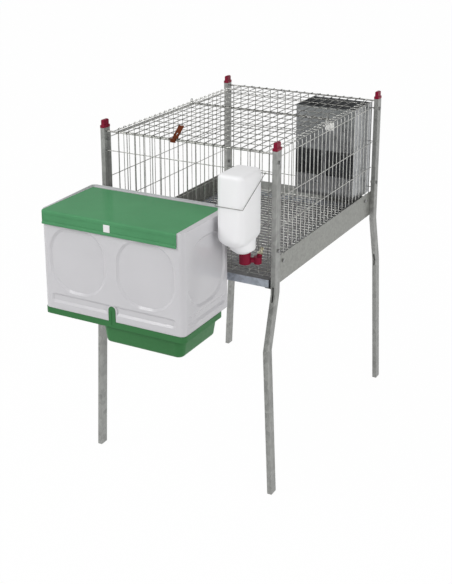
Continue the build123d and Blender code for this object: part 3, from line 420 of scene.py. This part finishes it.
# Side walls, whose upright bars bend over into the roof flange
for side, wall in ((-1, "side_wall_left"), (1, "side_wall_right")):
    flanges = {}
    others = []
    for low, high in loose_boxes(wall):
        size = high - low
        if size.x > FLANGE_MIN and size.y < ACROSS_MAX:
            outer, inner = (high.x, low.x) if side > 0 else (low.x, high.x)
            place = round((low.y + high.y) / 2, PLACE_DIGITS)
            flanges[place] = (outer - side * WIRE_R, inner, high.z - WIRE_R)
        else:
            others.append((low, high))
    runs = []
    for low, high in others:
        size = high - low
        line = straight(low, high)
        place = round((low.y + high.y) / 2, PLACE_DIGITS)
        if size.z > size.y and place in flanges:
            outer, inner, top = flanges[place]
            foot = line[0]
            line = rounded([foot, Vector((outer, foot.y, top)), Vector((inner, foot.y, top))], BEND_R)
        runs.append(line)
    # The side walls take bright_bar: painted light, so that their bars read lit over the feeder
    wires(wall, runs, "frame", "bright_bar")


def ring(middle, z, half_x, half_y, corner):
    """Corners of a level rounded rectangle, or a circle where the halves are the corner radius."""
    points = []
    for quarter, (sx, sy) in enumerate(((1, 1), (-1, 1), (-1, -1), (1, -1))):
        for step in range(RING_STEPS + 1):
            turn = math.pi / 2 * (quarter + step / RING_STEPS)
            x = middle[0] + sx * (half_x - corner) + corner * math.cos(turn)
            y = middle[1] + sy * (half_y - corner) + corner * math.sin(turn)
            points.append(Vector((x, y, z)))
    return points


def loft(shape, rings):
    """A closed skin through rings of equal count."""
    rows = [[shape.verts.new(point) for point in points] for points in rings]
    for a, b in zip(rows, rows[1:]):
        for i in range(len(a)):
            shape.faces.new((a[i - 1], a[i], b[i], b[i - 1]))
    shape.faces.new(rows[0][::-1])
    shape.faces.new(rows[-1])


def add_mesh(name, shape, finish):
    """A new object from a bmesh, which is freed."""
    mesh = bpy.data.meshes.new(name)
    shape.to_mesh(mesh)
    shape.free()
    mesh.materials.append(surfaces[finish].material)
    piece = bpy.data.objects.new(name, mesh)
    scene.collection.objects.link(piece)
    return piece


# Blow moulded bottle: a block with soft lower corners that runs into its round shoulder and neck
BOTTLE_CORNER, BOTTLE_TOP_ROUND, BOTTLE_LOW_ROUND, BOTTLE_HEIGHT = 0.018, 0.012, 0.036, 0.220
SHOULDER_R, SHOULDER_END_R, SHOULDER_CONE, SHOULDER_BACK = 0.038, 0.02, 0.013, 0.043
NECK_R = 0.0125
RING_STEPS, ARC_STEPS = 6, 8
SKIN_CELL, RELAX_SHARE, RELAX_ROUNDS = 0.002, 0.5, 10
bottle_low, bottle_high = (Vector(corner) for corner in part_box("bottle_body"))
cap_low, cap_high = (Vector(corner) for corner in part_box("bottle_cap"))
middle = (bottle_low + bottle_high) / 2
half = (bottle_high - bottle_low) / 2
block_low = bottle_high.z - BOTTLE_HEIGHT
neck_top = block_low + BOTTLE_LOW_ROUND
quarter_turn = [math.pi / 2 * step / ARC_STEPS for step in range(ARC_STEPS + 1)]
rings = []
for turn in quarter_turn:
    inset = BOTTLE_LOW_ROUND * (1 - math.sin(turn))
    z = block_low + BOTTLE_LOW_ROUND * (1 - math.cos(turn))
    corner = min(BOTTLE_CORNER + inset / 2, half.x - inset)
    rings.append(ring(middle, z, half.x - inset, half.y - inset, corner))
for turn in quarter_turn:
    inset = BOTTLE_TOP_ROUND * (1 - math.cos(turn))
    z = bottle_high.z - BOTTLE_TOP_ROUND * (1 - math.sin(turn))
    rings.append(ring(middle, z, half.x - inset, half.y - inset, BOTTLE_CORNER - inset))
bottle = bmesh.new()
loft(bottle, rings)
shoulder = Vector((middle.x, bottle_high.y - SHOULDER_BACK, 0))
shoulder_profile = (
    (cap_high.z, SHOULDER_END_R),
    (cap_high.z + SHOULDER_CONE, SHOULDER_R),
    (neck_top, SHOULDER_R),
)
loft(bottle, [ring(shoulder, z, r, r, r) for z, r in shoulder_profile])
neck = (cap_low + cap_high) / 2
loft(bottle, [ring(neck, z, NECK_R, NECK_R, NECK_R) for z in (bottle_low.z, neck_top)])
bottle_skin = add_mesh("bottle_skin", bottle, "bottle_white")
fuse = bottle_skin.modifiers.new("fuse", "REMESH")
fuse.mode = "VOXEL"
fuse.voxel_size = SKIN_CELL
fuse.use_smooth_shade = True
relax = bottle_skin.modifiers.new("relax", "SMOOTH")
relax.factor = RELAX_SHARE
relax.iterations = RELAX_ROUNDS
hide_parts("bottle_body")
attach(bottle_skin, "bottle")

# Raised lip of the nest box round the left and rear edges of its lid, sunk to the rim at both ends
LIP_T, LIP_RISE, LIP_SINK, LIP_ROUND, LIP_STEPS = 0.0026, 0.006, 0.002, 0.0008, 2
NEST_CORNER = 0.017
nest_low, nest_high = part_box("nest_body")
lip_left, lip_right = nest_low[0] + LIP_T / 2, nest_high[0] - LIP_T / 2
lip_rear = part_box("nest_hooks")[0][1] - LIP_T / 2
lip_top = nest_high[2] + LIP_RISE
lip_corners = [
    Vector((lip_left, nest_low[1] + NEST_CORNER, lip_top)),
    Vector((lip_left, lip_rear, lip_top)),
    Vector((lip_right, lip_rear, lip_top)),
    Vector((lip_right, lip_rear - 2 * NEST_CORNER, lip_top)),
]
lip_line = rounded(lip_corners, NEST_CORNER - LIP_T / 2)
for end in (0, -1):
    lip_line[end].z = nest_high[2]
lip = bmesh.new()
rows = []
for i, point in enumerate(lip_line):
    along = lip_line[min(i + 1, len(lip_line) - 1)] - lip_line[max(i - 1, 0)]
    across = Vector((along.y, -along.x, 0)).normalized() * LIP_T / 2
    foot = Vector((0, 0, point.z - nest_high[2] + LIP_SINK))
    section = (point - across - foot, point - across, point + across, point + across - foot)
    rows.append([lip.verts.new(place) for place in section])
for a, b in zip(rows, rows[1:]):
    for j in range(len(a)):
        k = (j + 1) % len(a)
        lip.faces.new((a[j], b[j], b[k], a[k]))
lip.faces.new(rows[0])
lip.faces.new(rows[-1][::-1])
bmesh.ops.recalc_face_normals(lip, faces=lip.faces)
nest_lip = add_mesh("nest_lip", lip, "nest_grey")
lip_bevel = nest_lip.modifiers.new("bevel", "BEVEL")
lip_bevel.width = LIP_ROUND
lip_bevel.segments = LIP_STEPS
lip_bevel.limit_method = "ANGLE"
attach(nest_lip, "frame")

# Camera at the photograph's angle; height, focal length and shift are in the photograph's pixels
IMAGE_H, FOCAL_PX, SHIFT_PX = 584, 1077.89, 100
SENSOR_MM = 36.0
YAW, PITCH = math.radians(28.48), math.radians(17.12)
CAMERA_PLACE = (1.56479, -2.91988, 1.84829)
camera_data = bpy.data.cameras.new("camera")
camera_data.sensor_width = SENSOR_MM
camera_data.lens = FOCAL_PX * SENSOR_MM / IMAGE_H
camera_data.shift_y = -SHIFT_PX / IMAGE_H
camera = bpy.data.objects.new("camera", camera_data)
camera.location = CAMERA_PLACE
camera.rotation_euler = (math.pi / 2 - PITCH, 0, YAW)
scene.collection.objects.link(camera)
scene.camera = camera

# Soft square lamps that face the middle of the cage: name, place and power in watts
LAMP_TARGET = Vector((0, 0, 0.7))
LAMP_SIZE = 2.4
for name, place, power in (
    ("key", (-2.6, -3.2, 4.2), 125),
    ("fill", (4.0, -1.6, 2.6), 58),
):
    data = bpy.data.lights.new(name, "AREA")
    data.shape = "SQUARE"
    data.size = LAMP_SIZE
    data.energy = power
    lamp = bpy.data.objects.new(name, data)
    lamp.location = place
    lamp.rotation_euler = (LAMP_TARGET - Vector(place)).to_track_quat("-Z", "Y").to_euler()
    scene.collection.objects.link(lamp)


def seen_rays(tree):
    """One for rays that see a surface straight on, in gloss or through glass, else zero."""
    path = tree.nodes.new("ShaderNodeLightPath")
    seen = path.outputs["Is Camera Ray"]
    for other in ("Is Glossy Ray", "Is Transmission Ray"):
        most = tree.nodes.new("ShaderNodeMath")
        most.operation = "MAXIMUM"
        tree.links.new(seen, most.inputs[0])
        tree.links.new(path.outputs[other], most.inputs[1])
        seen = most.outputs[0]
    return seen


def mix_out(tree, share, lit, seen, output):
    """Send a mix of what lights the cage and what is seen to the output node."""
    mix = tree.nodes.new("ShaderNodeMixShader")
    tree.links.new(share, mix.inputs["Fac"])
    tree.links.new(lit.outputs[0], mix.inputs[1])
    tree.links.new(seen.outputs[0], mix.inputs[2])
    out = tree.nodes.new(output)
    tree.links.new(mix.outputs[0], out.inputs["Surface"])


# Surroundings: where they are seen, a white skyline that fades up to a grey dome;
# for what lights the cage, an even grey
SKYLINE, DOME_FROM, DOME_GREY = 0.12, 0.4, 0.3
WHITE = (1, 1, 1, 1)
AMBIENT = 0.5
world = bpy.data.worlds.new("world")
scene.world = world
world.use_nodes = True
tree = world.node_tree
tree.nodes.clear()
direction = tree.nodes.new("ShaderNodeTexCoord")
height = tree.nodes.new("ShaderNodeSeparateXYZ")
tree.links.new(direction.outputs["Generated"], height.inputs[0])
dome = tree.nodes.new("ShaderNodeValToRGB")
low_stop, high_stop = dome.color_ramp.elements
low_stop.position, low_stop.color = SKYLINE, WHITE
high_stop.position, high_stop.color = DOME_FROM, (DOME_GREY, DOME_GREY, DOME_GREY, 1)
tree.links.new(height.outputs["Z"], dome.inputs["Fac"])
backdrop = tree.nodes.new("ShaderNodeBackground")
backdrop.inputs["Strength"].default_value = 1.0
tree.links.new(dome.outputs["Color"], backdrop.inputs["Color"])
ambient = tree.nodes.new("ShaderNodeBackground")
ambient.inputs["Color"].default_value = WHITE
ambient.inputs["Strength"].default_value = AMBIENT
mix_out(tree, seen_rays(tree), ambient, backdrop, "ShaderNodeOutputWorld")

# Pale floor that keeps a soft shadow
FLOOR_REACH, FLOOR_DROP = 40.0, 0.0002
FLOOR_GREY, FLOOR_GLOW = (0.9, 0.9, 0.9, 1), 0.985
floor_mesh = bpy.data.meshes.new("studio_floor")
floor_corners = [(x * FLOOR_REACH, y * FLOOR_REACH, 0) for x, y in ((-1, -1), (1, -1), (1, 1), (-1, 1))]
floor_mesh.from_pydata(floor_corners, [], [(0, 1, 2, 3)])
studio_floor = bpy.data.objects.new("studio_floor", floor_mesh)
studio_floor.location.z = -FLOOR_DROP
scene.collection.objects.link(studio_floor)
floor_material = bpy.data.materials.new("studio_floor")
floor_material.use_nodes = True
tree = floor_material.node_tree
tree.nodes.clear()
share = tree.nodes.new("ShaderNodeMath")
share.operation = "MULTIPLY"
tree.links.new(seen_rays(tree), share.inputs[0])
share.inputs[1].default_value = FLOOR_GLOW
matte = tree.nodes.new("ShaderNodeBsdfDiffuse")
matte.inputs["Color"].default_value = FLOOR_GREY
glow = tree.nodes.new("ShaderNodeEmission")
glow.inputs["Strength"].default_value = 1.0
glow.inputs["Color"].default_value = WHITE
mix_out(tree, share.outputs[0], matte, glow, "ShaderNodeOutputMaterial")
floor_mesh.materials.append(floor_material)

scene.view_settings.view_transform = "Standard"
